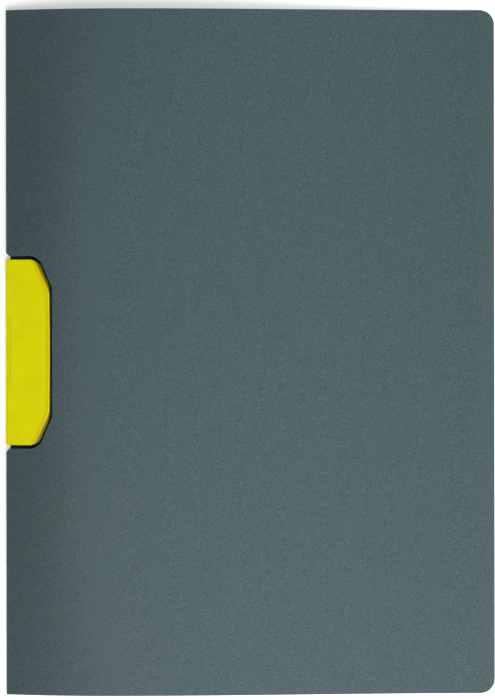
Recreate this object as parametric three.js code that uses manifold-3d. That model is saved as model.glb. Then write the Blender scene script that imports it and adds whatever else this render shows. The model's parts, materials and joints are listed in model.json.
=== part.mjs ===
// A4 clip folder: a creased polypropylene cover with a swing clip set in a cut-out at the spine.
// Millimetres. The folder lies closed on its back cover: +Z up, spine at -X, head at +Y.
// Shapes are drawn with x measured from the outer face of the spine, and the whole is centred at the end.
import * as THREE from "three";
import { mergeVertices } from "three/addons/utils/BufferGeometryUtils.js";
import Module from "manifold-3d";

const wasm = await Module();
wasm.setup();

// Cover sheet
const coverWidth = 221.5; // spine to fore edge
const coverHeight = 310; // tail to head
const sheetThickness = 0.6;
const foreCornerRadius = 6.5;
const spineHeight = 3.6; // outer height at the upper crease
const creaseReach = 0.9; // each panel stops this far from the outer corner of a fold
const crownRise = 5.7; // height of the front cover's crown over the upper crease
const crownDistance = 36; // spine to the crown
const foreGap = 0.3; // between the two covers at the fore edge

// Clip, seen from above: the outline of its wall and the outline of its top face
const clipHalfLength = 42.1;
const clipWidth = 20.25; // spine face to the free edge, at the ends of that edge
const clipBow = 0.35; // how far the free edge bows out at its middle, before rounding
const cornerCutWidth = 5.25; // of each cut corner, across the clip
const cornerCutLength = 12.3; // the same, along the clip
const clipCornerRadius = 5.8;
const freeCornerRadius = 18;
const bowRadius = 1200;
const endDraft = 0.3; // how far the top face lies inside the wall, at the ends
const freeDraft = 0.6; // the same, at the free edge
const faceCutWidth = 6.6; // of each cut corner of the top face, across the clip
const faceCutLength = 14.7; // the same, along the clip
const faceCornerRadius = 3.4;
const faceFreeRadius = 9;
const clipWall = 1.2;
const clipProud = 0.05; // of the cover, at the hinge and at the cut-out
const barrelProud = 0.2; // of the spine's outer face
const shoulderDrop = 1.4; // from the top face to where the wall starts to round over
const shoulderTurn = 50; // degrees that the shoulder turns through before it meets the face at an edge

// Clip hinge
const barrelRadius = 1.6;
const pinRadius = 0.5;
const pinClearance = 0.1;
const pinInset = 0.6; // from the pin's open end to the end of the clip
const lugRadius = 1;
const lugWidth = 5;
const lugEndDistance = 5.1; // from the clip's end to the middle of the outer lug
const lugSpacing = 13; // between the two lugs of a pair
const postThickness = 1;
const armThickness = 0.65;
const armLift = 0.05; // underside of a lug's arm over the hinge axis
const runningGap = 0.3; // between pieces that turn past each other
const lugGap = 0.15; // round a lug, inside the barrel

// Relief at the spine edge of the clip, and the spring tongue that it meets
const reliefLugDistance = 4.2; // from its end to the middle of the nearest lug
const reliefWidth = 2.1; // from the spine face
const reliefTaper = 2.7; // how much shorter it is at its inner side, at each end
const reliefAngle = 119; // degrees, direction that its flat faces, from +X towards +Z
const tongueLength = 5.7;
const tongueSlot = 0.8;
const tongueThickness = 0.7;
const tongueReach = 0.55; // of its nose past the base plate's edge, under the barrel
const tongueNoseDrop = 0.25; // of its nose below the base plate's top
const tongueNoseRound = 0.2;

// Ribs inside the clip
const ribSpacing = 13; // of the three ribs between the inner lugs
const ribThickness = 1;
const ribFootHeight = 0.5; // over the clip's rim

// Clip base and its rivets
const basePlate = 1;
const baseInset = 0.7; // inside the clip's wall
const rimGap = 0.3; // between the closed clip's rim and the base
const outerRivetEndDistance = 11.1; // from the clip's end
const outerRivetDistance = 8; // from the spine
const innerRivetEndDistance = 30.1;
const innerRivetEdgeDistance = 5.5; // from the clip's free edge
const rivetShankRadius = 1.5;
const rivetHeadRadius = 2.6;
const rivetHeadThickness = 0.5;
const rivetTailRadius = 2.5;
const rivetTailThickness = 0.25;
const rivetRecess = 0.05; // tail below the underside's plane
const rivetClearance = 0.15;

// Cut-out of the cover round the clip
const endGap = 1.5;
const cornerGap = 0.65;
const freeGap = 0.7; // at the middle of the clip's bowed edge. The cut-out's edge is straight
const cutoutFreeRadius = 0.8; // where its slanted and straight edges meet
const notchChamfer = 1.5; // at the crease
const notchReach = 1.65; // spine to the back cover's edge, along the clip

// Facets
const rodSides = 24;
const cornerSteps = 6;
const bowSteps = 4;
const shoulderSteps = 2;
const riseSteps = 10;
const fallSteps = 14;
const overshoot = 1; // how far a cutter reaches past what it cuts

// Worked-out places
const crownHeight = spineHeight + crownRise;
const hingeX = barrelRadius - barrelProud;
const hingeZ = coverTop(hingeX) + clipProud - barrelRadius;
const baseTop = sheetThickness + basePlate;
const rimZ = baseTop + rimGap;
const plateX = hingeX + barrelRadius + runningGap;
const cutoutX = clipWidth + clipBow + freeGap;
const armTop = hingeZ + armThickness + armLift;
const outerLug = clipHalfLength - lugEndDistance;
const innerLug = outerLug - lugSpacing;
const lugPlaces = [-outerLug, -innerLug, innerLug, outerLug];
const outerRib = (outerLug + innerLug) / 2;
const ribPlaces = [-outerRib, -ribSpacing, 0, ribSpacing, outerRib];
const reliefHalfLength = innerLug - reliefLugDistance;
const tongueHalfWidth = reliefHalfLength - reliefTaper;
const outerRivet = clipHalfLength - outerRivetEndDistance;
const innerRivet = clipHalfLength - innerRivetEndDistance;
const innerRivetX = clipWidth - innerRivetEdgeDistance;
const notchHalfLength = clipHalfLength + endGap + notchChamfer; // at the spine's outer face
const rivetPlaces = [
  [outerRivetDistance, -outerRivet],
  [innerRivetX, -innerRivet],
  [innerRivetX, innerRivet],
  [outerRivetDistance, outerRivet],
];

// Height of the front cover's outer face over the table. It rises to the crown and settles at the fore edge.
function coverTop(x) {
  if (x < crownDistance) {
    const left = (crownDistance - x) / crownDistance;
    return crownHeight - crownRise * left * left;
  }
  const lowest = 2 * sheetThickness + foreGap;
  const share = (x - crownDistance) / (coverWidth - crownDistance);
  return crownHeight - (crownHeight - lowest) * share * share * (3 - 2 * share);
}

// The clip's top face is a plane that runs off the barrel and ends level with the cover at the cut-out.
const faceEndX = clipWidth + clipBow - freeDraft;
const faceEndZ = coverTop(cutoutX) + clipProud;
const faceReach = Math.hypot(faceEndX - hingeX, faceEndZ - hingeZ);
const faceAngle =
  Math.atan2(faceEndZ - hingeZ, faceEndX - hingeX) - Math.asin(barrelRadius / faceReach);

function faceTop(x) {
  return faceEndZ + Math.tan(faceAngle) * (x - faceEndX);
}

// Solids and geometries
function toSolid(geometry) {
  const bare = geometry.clone();
  bare.deleteAttribute("normal");
  bare.deleteAttribute("uv");
  const merged = mergeVertices(bare, 1e-5);
  return new wasm.Manifold(
    new wasm.Mesh({
      numProp: 3,
      vertProperties: merged.attributes.position.array,
      triVerts: new Uint32Array(merged.index.array),
    }),
  );
}

function toGeometry(solid) {
  const mesh = solid.getMesh();
  const geometry = new THREE.BufferGeometry();
  geometry.setAttribute("position", new THREE.BufferAttribute(mesh.vertProperties, 3));
  geometry.setIndex(new THREE.BufferAttribute(mesh.triVerts, 1));
  const faceted = geometry.toNonIndexed();
  faceted.computeVertexNormals();
  return faceted;
}

function block(low, high) {
  const size = high.map((value, i) => value - low[i]);
  const centre = high.map((value, i) => (value + low[i]) / 2);
  return toSolid(new THREE.BoxGeometry(...size).translate(...centre));
}

// A round rod along the hinge's direction.
function rod(radius, yLow, yHigh) {
  const shape = new THREE.CylinderGeometry(radius, radius, yHigh - yLow, rodSides);
  return toSolid(shape.translate(hingeX, (yLow + yHigh) / 2, hingeZ));
}

// A round disc that stands upright.
function disc(radius, [x, y], zLow, zHigh) {
  const shape = new THREE.CylinderGeometry(radius, radius, zHigh - zLow, rodSides);
  return toSolid(shape.rotateX(Math.PI / 2).translate(x, y, (zLow + zHigh) / 2));
}

// A plan outline pulled up from zLow to zHigh.
function upright(outline, zLow, zHigh) {
  const shape = new THREE.Shape(outline);
  const pulled = new THREE.ExtrudeGeometry(shape, { depth: zHigh - zLow, bevelEnabled: false });
  return toSolid(pulled.translate(0, 0, zLow));
}

// A side profile, points of x and z, pulled along the spine from yLow to yHigh.
function along(profile, yLow, yHigh) {
  const shape = new THREE.Shape(profile.map(([x, z]) => new THREE.Vector2(x, z)));
  const pulled = new THREE.ExtrudeGeometry(shape, { depth: yHigh - yLow, bevelEnabled: false });
  return toSolid(pulled.rotateX(Math.PI / 2).translate(0, yHigh, 0));
}

// Outlines are lists of corners, counterclockwise from above. A corner may have a radius.
function rounded(corners) {
  const points = [];
  corners.forEach((corner, i) => {
    const here = new THREE.Vector2(corner.x, corner.y);
    if (!corner.radius) {
      points.push(here);
      return;
    }
    const before = corners.at(i - 1);
    const after = corners[(i + 1) % corners.length];
    const back = new THREE.Vector2(before.x, before.y).sub(here).normalize();
    const onward = new THREE.Vector2(after.x, after.y).sub(here).normalize();
    const half = Math.acos(back.dot(onward)) / 2;
    const inward = back.clone().add(onward).normalize();
    const centre = here.clone().addScaledVector(inward, corner.radius / Math.sin(half));
    const start = here.clone().addScaledVector(back, corner.radius / Math.tan(half));
    const from = start.sub(centre).angle();
    const turn = Math.PI - 2 * half;
    const steps = corner.steps ?? cornerSteps;
    for (let k = 0; k <= steps; k += 1) {
      const angle = from + (turn * k) / steps;
      points.push(
        new THREE.Vector2(
          centre.x + corner.radius * Math.cos(angle),
          centre.y + corner.radius * Math.sin(angle),
        ),
      );
    }
  });
  return points;
}

// Moves each side of an outline outward by its own distance. Side i runs from corner i to the next.
function widened(corners, distances) {
  const sides = corners.map((corner, i) => {
    const next = corners[(i + 1) % corners.length];
    const direction = new THREE.Vector2(next.x - corner.x, next.y - corner.y).normalize();
    const normal = new THREE.Vector2(direction.y, -direction.x);
    return { normal, reach: normal.x * corner.x + normal.y * corner.y + distances[i] };
  });
  return corners.map((corner, i) => {
    const a = sides.at(i - 1);
    const b = sides[i];
    const across = a.normal.x * b.normal.y - a.normal.y * b.normal.x;
    const moved = {
      ...corner,
      x: (a.reach * b.normal.y - b.reach * a.normal.y) / across,
      y: (b.reach * a.normal.x - a.reach * b.normal.x) / across,
    };
    if (corner.radius) {
      const spread = (distances.at(i - 1) + distances[i]) / 2;
      moved.radius = corner.radius + spread;
    }
    return moved;
  });
}

// Distances for the seven sides of a clip outline: its ends, its cut corners, its free edge, its spine side.
function clipSides(end, corner, free, spine = 0) {
  return [end, corner, free, free, corner, end, spine];
}

// The corners of a clip outline, from its spine side round its end, its cut corner and its bowed free edge.
function clipCorners(spineX, { end, edge, cutWidth, cutLength, cornerRadius, freeRadius }) {
  const corner = { radius: cornerRadius };
  const free = { radius: freeRadius, steps: bowSteps };
  return [
    { x: spineX, y: -end },
    { x: edge - cutWidth, y: -end, ...corner },
    { x: edge, y: cutLength - end, ...free },
    { x: edge + clipBow, y: 0, radius: bowRadius, steps: bowSteps },
    { x: edge, y: end - cutLength, ...free },
    { x: edge - cutWidth, y: end, ...corner },
    { x: spineX, y: end },
  ];
}

function wallCorners(spineX) {
  return clipCorners(spineX, {
    end: clipHalfLength,
    edge: clipWidth,
    cutWidth: cornerCutWidth,
    cutLength: cornerCutLength,
    cornerRadius: clipCornerRadius,
    freeRadius: freeCornerRadius,
  });
}

function faceCorners(spineX) {
  return clipCorners(spineX, {
    end: clipHalfLength - endDraft,
    edge: clipWidth - freeDraft,
    cutWidth: faceCutWidth,
    cutLength: faceCutLength,
    cornerRadius: faceCornerRadius,
    freeRadius: faceFreeRadius,
  });
}

// A closed shell through rings of points that have the same count, the lowest ring first.
function loft(rings) {
  const count = rings[0].length;
  const positions = rings.flat().flatMap((point) => [point.x, point.y, point.z]);
  const triangles = [];
  for (let ring = 0; ring + 1 < rings.length; ring += 1) {
    for (let i = 0; i < count; i += 1) {
      const a = ring * count + i;
      const b = ring * count + ((i + 1) % count);
      triangles.push(a, b, b + count, a, b + count, a + count);
    }
  }
  const flat = rings[0].map((point) => new THREE.Vector2(point.x, point.y));
  const top = (rings.length - 1) * count;
  for (const [a, b, c] of THREE.ShapeUtils.triangulateShape(flat, [])) {
    triangles.push(c, b, a, top + a, top + b, top + c);
  }
  const geometry = new THREE.BufferGeometry();
  geometry.setAttribute("position", new THREE.Float32BufferAttribute(positions, 3));
  geometry.setIndex(triangles);
  return toSolid(geometry);
}

// One ring of the clip's body, a share of the way from one outline to another.
function clipRing(from, to, share, height) {
  return from.map((point, i) => {
    const x = THREE.MathUtils.lerp(point.x, to[i].x, share);
    const y = THREE.MathUtils.lerp(point.y, to[i].y, share);
    return new THREE.Vector3(x, y, height(x));
  });
}

// The upright wall rounds over into a shoulder, which meets the top face at an edge.
function clipShell() {
  const wall = rounded(wallCorners(hingeX));
  const face = rounded(faceCorners(hingeX));
  const turn = THREE.MathUtils.degToRad(shoulderTurn);
  const rings = [clipRing(wall, face, 0, () => rimZ)];
  for (let k = 0; k <= shoulderSteps; k += 1) {
    const angle = (turn * k) / shoulderSteps;
    const share = (1 - Math.cos(angle)) / (1 - Math.cos(turn));
    const drop = shoulderDrop * (1 - Math.sin(angle) / Math.sin(turn));
    rings.push(clipRing(wall, face, share, (x) => faceTop(x) - drop));
  }
  return loft(rings);
}

function clipHollow() {
  const startX = hingeX + barrelRadius;
  const inward = clipSides(-clipWall, -clipWall, -clipWall);
  const [wall, face] = [wallCorners, faceCorners].map((corners) =>
    rounded(widened(corners(startX), inward)),
  );
  return loft([
    clipRing(wall, face, 0, () => 0),
    clipRing(wall, face, 0, (x) => faceTop(x) - clipWall - shoulderDrop),
    clipRing(wall, face, 1, (x) => faceTop(x) - clipWall),
  ]);
}

// Ribs are what is left standing in the hollow.
function ribbedHollow() {
  const low = rimZ + ribFootHeight;
  const ribs = ribPlaces.map((place) =>
    block(
      [-overshoot, place - ribThickness / 2, low],
      [clipWidth + overshoot, place + ribThickness / 2, crownHeight + overshoot],
    ),
  );
  return ribs.reduce((hollow, rib) => hollow.subtract(rib), clipHollow());
}

// The space that a lug needs inside the clip. A skin over the lug stays.
function lugPocket(place) {
  const low = place - lugWidth / 2 - runningGap;
  const high = place + lugWidth / 2 + runningGap;
  const right = plateX + postThickness + runningGap;
  const eye = rod(lugRadius + lugGap, low, high);
  const under = block([-barrelRadius, low, 0], [right, high, hingeZ]);
  const beside = block([hingeX, low, 0], [right, high, armTop + lugGap]);
  return eye.add(under).add(beside);
}

// A flat relief on the barrel that runs out into the top face.
function reliefCut() {
  const angle = THREE.MathUtils.degToRad(reliefAngle);
  const out = new THREE.Vector2(Math.cos(angle), Math.sin(angle));
  const side = new THREE.Vector2(-out.y, out.x);
  const edge = new THREE.Vector2(reliefWidth, faceTop(reliefWidth));
  const far = edge.clone().addScaledVector(side, 2 * barrelRadius);
  const profile = [
    edge,
    edge.clone().addScaledVector(out, barrelRadius),
    far.clone().addScaledVector(out, barrelRadius),
    far,
  ].map((point) => [point.x, point.y]);
  const halfAt = (x) =>
    reliefHalfLength - (reliefTaper * (x + barrelProud)) / (reliefWidth + barrelProud);
  const xs = [-barrelRadius, reliefWidth + overshoot];
  const plan = [
    new THREE.Vector2(xs[0], -halfAt(xs[0])),
    new THREE.Vector2(xs[1], -halfAt(xs[1])),
    new THREE.Vector2(xs[1], halfAt(xs[1])),
    new THREE.Vector2(xs[0], halfAt(xs[0])),
  ];
  const wedge = along(profile, -clipHalfLength, clipHalfLength);
  return wedge.intersect(upright(plan, 0, crownHeight + overshoot));
}

function swingClip() {
  const pinHole = rod(
    pinRadius + pinClearance,
    -clipHalfLength - overshoot,
    clipHalfLength - pinInset,
  );
  let clip = clipShell().subtract(ribbedHollow());
  clip = clip.add(rod(barrelRadius, -clipHalfLength, clipHalfLength));
  for (const place of lugPlaces) {
    clip = clip.subtract(lugPocket(place));
  }
  return clip.subtract(reliefCut()).subtract(pinHole);
}

function hingePin() {
  return rod(pinRadius, pinInset - clipHalfLength, clipHalfLength - 2 * pinInset);
}

function hingeLug(place) {
  const low = place - lugWidth / 2;
  const high = place + lugWidth / 2;
  const eye = rod(lugRadius, low, high);
  const arm = block([hingeX, low, armTop - armThickness], [plateX + postThickness, high, armTop]);
  const post = block([plateX, low, sheetThickness], [plateX + postThickness, high, armTop]);
  return eye.add(arm).add(post);
}

function springTongue() {
  const low = baseTop - tongueThickness;
  const noseX = plateX - tongueReach;
  const profile = [
    [plateX + postThickness, low],
    [plateX + postThickness, baseTop],
    [plateX, baseTop],
    [noseX + tongueNoseRound / 2, baseTop - tongueNoseDrop],
    [noseX, low + tongueNoseRound],
    [noseX + tongueNoseRound / 2, low],
  ];
  return along(profile, -tongueHalfWidth, tongueHalfWidth);
}

function clipBase() {
  const inset = clipSides(-baseInset, -baseInset, -baseInset);
  const outline = rounded(widened(wallCorners(plateX), inset));
  let base = upright(outline, sheetThickness, baseTop);
  const slotEnd = plateX + tongueLength;
  for (const side of [-1, 1]) {
    const edges = [side * tongueHalfWidth, side * (tongueHalfWidth + tongueSlot)].sort(
      (a, b) => a - b,
    );
    base = base.subtract(block([0, edges[0], 0], [slotEnd, edges[1], baseTop + overshoot]));
  }
  base = base.subtract(
    block(
      [0, -tongueHalfWidth, 0],
      [slotEnd, tongueHalfWidth, baseTop - tongueThickness],
    ),
  );
  base = base.add(springTongue());
  for (const place of lugPlaces) {
    base = base.add(hingeLug(place));
  }
  for (const place of rivetPlaces) {
    const shank = disc(rivetShankRadius + rivetClearance, place, 0, baseTop + overshoot);
    const seat = baseTop - rivetHeadThickness;
    const head = disc(rivetHeadRadius + rivetClearance, place, seat, baseTop + overshoot);
    base = base.subtract(shank).subtract(head);
  }
  return base.subtract(rod(pinRadius + pinClearance, -clipHalfLength, clipHalfLength));
}

function rivet(place) {
  const tailTop = rivetRecess + rivetTailThickness;
  const shank = disc(rivetShankRadius, place, rivetRecess, baseTop);
  const head = disc(rivetHeadRadius, place, baseTop - rivetHeadThickness, baseTop);
  const tail = disc(rivetTailRadius, place, rivetRecess, tailTop);
  return shank.add(head).add(tail);
}

// The outline that both covers share, from their crease side to the rounded fore corners.
function coverOutline() {
  const half = coverHeight / 2;
  return rounded([
    { x: creaseReach, y: -half },
    { x: coverWidth, y: -half, radius: foreCornerRadius },
    { x: coverWidth, y: half, radius: foreCornerRadius },
    { x: creaseReach, y: half },
  ]);
}

// The cut-out follows the clip's wall, but with a straight edge, and opens with a chamfer at the spine.
function cutoutOutline() {
  const straight = wallCorners(notchChamfer).toSpliced(3, 1);
  const edgeGap = clipBow + freeGap;
  const corners = widened(straight, [endGap, cornerGap, edgeGap, cornerGap, endGap, 0]);
  corners[2].radius = cutoutFreeRadius;
  corners[3].radius = cutoutFreeRadius;
  const mouth = notchHalfLength + overshoot;
  return rounded([
    { x: -overshoot, y: -mouth },
    ...corners,
    { x: -overshoot, y: mouth },
  ]);
}

// The back cover starts a little way in along the clip, with the same chamfers as the cut-out.
function backNotch() {
  const inner = notchHalfLength - notchReach;
  const mouth = notchHalfLength + overshoot;
  return upright(
    [
      new THREE.Vector2(-overshoot, -mouth),
      new THREE.Vector2(notchReach, -inner),
      new THREE.Vector2(notchReach, inner),
      new THREE.Vector2(-overshoot, mouth),
    ],
    -overshoot,
    sheetThickness + overshoot,
  );
}

function backCover() {
  let cover = upright(coverOutline(), 0, sheetThickness).subtract(backNotch());
  for (const place of rivetPlaces) {
    const shank = disc(rivetShankRadius + rivetClearance, place, 0, sheetThickness + overshoot);
    const tail = disc(
      rivetTailRadius + rivetClearance,
      place,
      -overshoot,
      rivetRecess + rivetTailThickness,
    );
    cover = cover.subtract(shank).subtract(tail);
  }
  return cover;
}

function frontCover() {
  const stations = [];
  for (let i = 0; i < riseSteps; i += 1) {
    stations.push(creaseReach + ((crownDistance - creaseReach) * i) / riseSteps);
  }
  for (let i = 0; i <= fallSteps; i += 1) {
    stations.push(crownDistance + ((coverWidth - crownDistance) * i) / fallSteps);
  }
  const under = stations.map((x) => [x, coverTop(x) - sheetThickness]);
  const over = stations.map((x) => [x, coverTop(x)]).reverse();
  const sheet = along([...under, ...over], -coverHeight / 2, coverHeight / 2);
  const height = crownHeight + overshoot;
  return sheet
    .intersect(upright(coverOutline(), 0, height))
    .subtract(upright(cutoutOutline(), 0, height));
}

function spineStrip(yLow, yHigh) {
  return block([0, yLow, creaseReach], [sheetThickness, yHigh, spineHeight - creaseReach]);
}

// Materials
const sheetPlastic = new THREE.MeshStandardMaterial({
  name: "dark grey polypropylene sheet",
  color: 0x4b5d5e,
  roughness: 0.55,
  metalness: 0,
});
const clipPlastic = new THREE.MeshStandardMaterial({
  name: "yellow ABS",
  color: 0xd9d70a,
  roughness: 0.35,
  metalness: 0,
});
const pinSteel = new THREE.MeshStandardMaterial({
  name: "drawn steel wire",
  color: 0xb4b6b8,
  roughness: 0.3,
  metalness: 1,
});
const rivetSteel = new THREE.MeshStandardMaterial({
  name: "nickel-plated rivet",
  color: 0xc3c4c2,
  roughness: 0.28,
  metalness: 1,
});

function piece(name, solid, material) {
  const mesh = new THREE.Mesh(toGeometry(solid), material.clone());
  mesh.name = name;
  return mesh;
}

// Assembly: one group for each body that moves
const half = coverHeight / 2;
const base = new THREE.Group();
base.add(piece("back_cover", backCover(), sheetPlastic));
base.add(piece("clip_base", clipBase(), clipPlastic));
base.add(piece("hinge_pin", hingePin(), pinSteel));
rivetPlaces.forEach((place, i) => {
  base.add(piece(`rivet_${i + 1}`, rivet(place), rivetSteel));
});

const spine = new THREE.Group();
spine.add(piece("spine_strip_upper", spineStrip(notchHalfLength, half), sheetPlastic));
spine.add(piece("spine_strip_lower", spineStrip(-half, -notchHalfLength), sheetPlastic));

const cover = new THREE.Group();
cover.add(piece("front_cover", frontCover(), sheetPlastic));

const clip = new THREE.Group();
clip.add(piece("swing_clip", swingClip(), clipPlastic));

const folder = new THREE.Group();
folder.name = "clip_folder";
folder.add(base, spine, cover, clip);
folder.position.x = -(coverWidth - barrelProud) / 2;

export default folder;
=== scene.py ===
"""A4 clip folder: sand-grained polypropylene covers, a moulded swing clip and its hinge.

Shapes are drawn in millimetres, with x measured from the spine's outer face, and put into the frame
at the end.
"""
import json
import math

import bmesh
import bpy
from mathutils import Matrix, Vector


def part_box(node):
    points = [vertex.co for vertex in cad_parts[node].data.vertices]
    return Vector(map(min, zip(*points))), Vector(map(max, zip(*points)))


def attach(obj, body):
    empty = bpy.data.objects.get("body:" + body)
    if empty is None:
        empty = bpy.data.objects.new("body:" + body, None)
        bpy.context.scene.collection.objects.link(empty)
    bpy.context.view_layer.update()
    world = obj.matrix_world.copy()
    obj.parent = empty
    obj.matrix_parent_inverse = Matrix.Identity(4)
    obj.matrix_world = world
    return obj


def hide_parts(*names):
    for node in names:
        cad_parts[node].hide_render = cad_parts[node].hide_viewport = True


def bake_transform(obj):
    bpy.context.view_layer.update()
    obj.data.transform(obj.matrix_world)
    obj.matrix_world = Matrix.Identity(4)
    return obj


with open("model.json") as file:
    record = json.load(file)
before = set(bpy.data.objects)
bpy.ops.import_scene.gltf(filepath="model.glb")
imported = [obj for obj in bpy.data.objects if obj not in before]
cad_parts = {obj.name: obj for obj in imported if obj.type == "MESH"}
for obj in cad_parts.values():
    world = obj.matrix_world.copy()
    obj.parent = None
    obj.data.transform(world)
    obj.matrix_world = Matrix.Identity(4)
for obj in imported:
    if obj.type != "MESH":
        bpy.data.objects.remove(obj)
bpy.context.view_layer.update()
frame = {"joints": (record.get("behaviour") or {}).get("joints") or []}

# The frame in millimetres from the spine's outer face
MM = 0.001
SPINE_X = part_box("spine_strip_upper")[0].x


def box_mm(node):
    """Lowest and highest corner of a node, in millimetres from the spine's outer face."""
    return [Vector(((c.x - SPINE_X) / MM, c.y / MM, c.z / MM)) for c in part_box(node)]


def joint_mm(name):
    """Where a joint's axis crosses the middle of the folder, x and z."""
    position = next(j for j in frame["joints"] if j["name"] == name)["pos_m"]
    return (position[0] - SPINE_X) / MM, position[2] / MM


strip_low, strip_high = box_mm("spine_strip_upper")
cover_low, cover_high = box_mm("front_cover")
clip_low, clip_high = box_mm("swing_clip")
base_high = box_mm("clip_base")[1]
pin_low, pin_high = box_mm("hinge_pin")
rivet_low, rivet_high = box_mm("rivet_1")

# Cover sheet
SHEET = strip_high.x
CREASE = strip_low.z  # each panel stops this far from the outer corner of a fold
HALF_HEIGHT = strip_high.y
NOTCH_HALF = strip_low.y
SPINE_HEIGHT = strip_high.z + CREASE
COVER_WIDTH = cover_high.x
CROWN_HEIGHT = cover_high.z
CROWN_RISE = CROWN_HEIGHT - SPINE_HEIGHT
LOW_HEIGHT = cover_low.z + SHEET
CROWN_DISTANCE = 36
CROWN_SPREAD = 14  # how much further out the crown lies at the head and the foot
CURL_DROP = 0.25  # how far the fore edge curls down
CURL_REACH = 8  # how far in from the fore edge the curl starts
FORE_RADIUS = 6.5
RIM_ROUND = 0.12  # rounding of a die-cut edge
RIM_LINE = 0.55  # how far in the die's pinch still shows
CREASE_THICKNESS = 0.36  # of the sheet in the pressed crease
CREASE_SWELL = 0.55  # how far a crease's bend reaches towards its corner, as a share of its span

# Clip
HINGE_X, HINGE_Z = joint_mm("clip_swing")
CLIP_HALF = clip_high.y
CLIP_BOW = 0.35
BOW_RADIUS = 1200
# Half length, distance of the free edge, cut corner across and along, and the corner radii at the
# end and at the free edge
WALL_PLAN = (CLIP_HALF, 20.25, 5.25, 12.3, 5.8, 18)
FACE_PLAN = (CLIP_HALF - 0.3, 19.65, 6.6, 14.7, 3.4, 9)
CLIP_WIDTH = WALL_PLAN[1]
SHOULDER_DROP = 1.4
SHOULDER_TURN = math.radians(50)
SHADE_REACH = 2.2  # how far in from its edge the top face has painted shade
SHADE_AT_EDGE = 0.3  # how strong the painted shade is there, where the foot of the shoulder has 1
PLAIN_WALL = 0.8  # share of the upright wall, from its foot, in the plain yellow without painted shade
CLIP_WALL = 1.2
CLIP_PROUD = 0.05
BARREL = HINGE_Z - clip_low.z
BARREL_END_ROUND = 0.3
PIN = (pin_high.z - pin_low.z) / 2
PIN_END_ROUND = PIN / 4
PIN_CLEARANCE = 0.1
PIN_INSET = 0.6
RELIEF_HALF = 19.8
RELIEF_WIDTH = 2.1
RELIEF_TAPER = 2.7
RELIEF_ANGLE = math.radians(119)
GROOVE = 0.17  # half the width of the groove along the relief
RIB = 1
RIB_SPACING = 13
RIB_FOOT = 0.5

# Clip base, hinge lugs and tongue
RUNNING_GAP = 0.3
LUG_GAP = 0.15
LUG = 1
LUG_WIDTH = 5
LUG_INSET = 5.1  # of the outer lugs, from the clip's ends
LUG_SPACING = 13  # between an outer lug and the inner one beside it
POST = 1
ARM = 0.65
BASE_TOP = rivet_high.z
RIM_Z = BASE_TOP + RUNNING_GAP
BASE_INSET = 0.7
PLATE_X = HINGE_X + BARREL + RUNNING_GAP
ARM_TOP = base_high.z
OUTER_LUG = CLIP_HALF - LUG_INSET
INNER_LUG = OUTER_LUG - LUG_SPACING
LUGS = (-OUTER_LUG, -INNER_LUG, INNER_LUG, OUTER_LUG)
TONGUE_HALF = RELIEF_HALF - RELIEF_TAPER
TONGUE = 0.7
TONGUE_LENGTH = 5.7
TONGUE_SLOT = 0.8
TONGUE_REACH = 0.55
TONGUE_DROP = 0.25
TONGUE_ROUND = 0.2

# Rivets: x and y of the two in the upper half, the outer one by the hinge
OUTER_RIVET = (8, CLIP_HALF - 11.1)
INNER_RIVET = (CLIP_WIDTH - 5.5, CLIP_HALF - 30.1)
RIVET_SHANK = 1.5
RIVET_HEAD = (rivet_high.x - rivet_low.x) / 2
RIVET_HEAD_THICKNESS = 0.5
RIVET_SEAT = BASE_TOP - RIVET_HEAD_THICKNESS
# The head's rounded edge: shares of its radius, and of its thickness below its top
RIVET_HEAD_EDGE = ((1, 1 / 3), (0.86, 1 / 12), (0.5, 0))
RIVET_TAIL = 2.5
RIVET_TAIL_THICKNESS = 0.25
RIVET_FOOT = rivet_low.z
RIVET_TAIL_TOP = RIVET_FOOT + RIVET_TAIL_THICKNESS
RIVET_CLEARANCE = 0.15

# Cut-out round the clip
END_GAP = 1.5
CORNER_GAP = 0.65
FREE_GAP = CLIP_BOW + 0.7
CUTOUT_RADIUS = 0.8
NOTCH_CHAMFER = 1.5
NOTCH_REACH = 1.65
CUTOUT_X = CLIP_WIDTH + FREE_GAP

# Fineness of the meshes
CORNER_STEPS = 14
SHOULDER_STEPS = 6
CREASE_STEPS = 16
RIM_STEPS = 3
ROD_END_STEPS = 6
ROD_SIDES = 72
TURNS = [2 * math.pi * k / ROD_SIDES for k in range(ROD_SIDES)]
SLICE_ACROSS = 2.0  # the front cover bends in steps of this across
SLICE_ALONG = 8.0  # and of this along
CUT_TOLERANCE = 1e-4
OVERSHOOT = 1
SMOOTH_ANGLE = math.radians(15.5)


def cover_top(x):
    """Height of the front cover's outer face between the crease and the crown, halfway up the folder."""
    return CROWN_HEIGHT - CROWN_RISE * ((CROWN_DISTANCE - x) / CROWN_DISTANCE) ** 2


# The clip's top face is a plane that runs off the barrel and ends level with the cover at the cut-out.
FACE_X = FACE_PLAN[1] + CLIP_BOW
FACE_Z = cover_top(CUTOUT_X) + CLIP_PROUD
FACE_REACH = math.hypot(FACE_X - HINGE_X, FACE_Z - HINGE_Z)
FACE_ANGLE = math.atan2(FACE_Z - HINGE_Z, FACE_X - HINGE_X) - math.asin(BARREL / FACE_REACH)
FACE_START = HINGE_X - BARREL * math.sin(FACE_ANGLE)  # where the face touches the barrel


def face_top(x):
    """Height of the clip's top face."""
    return FACE_Z + math.tan(FACE_ANGLE) * (x - FACE_X)


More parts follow.
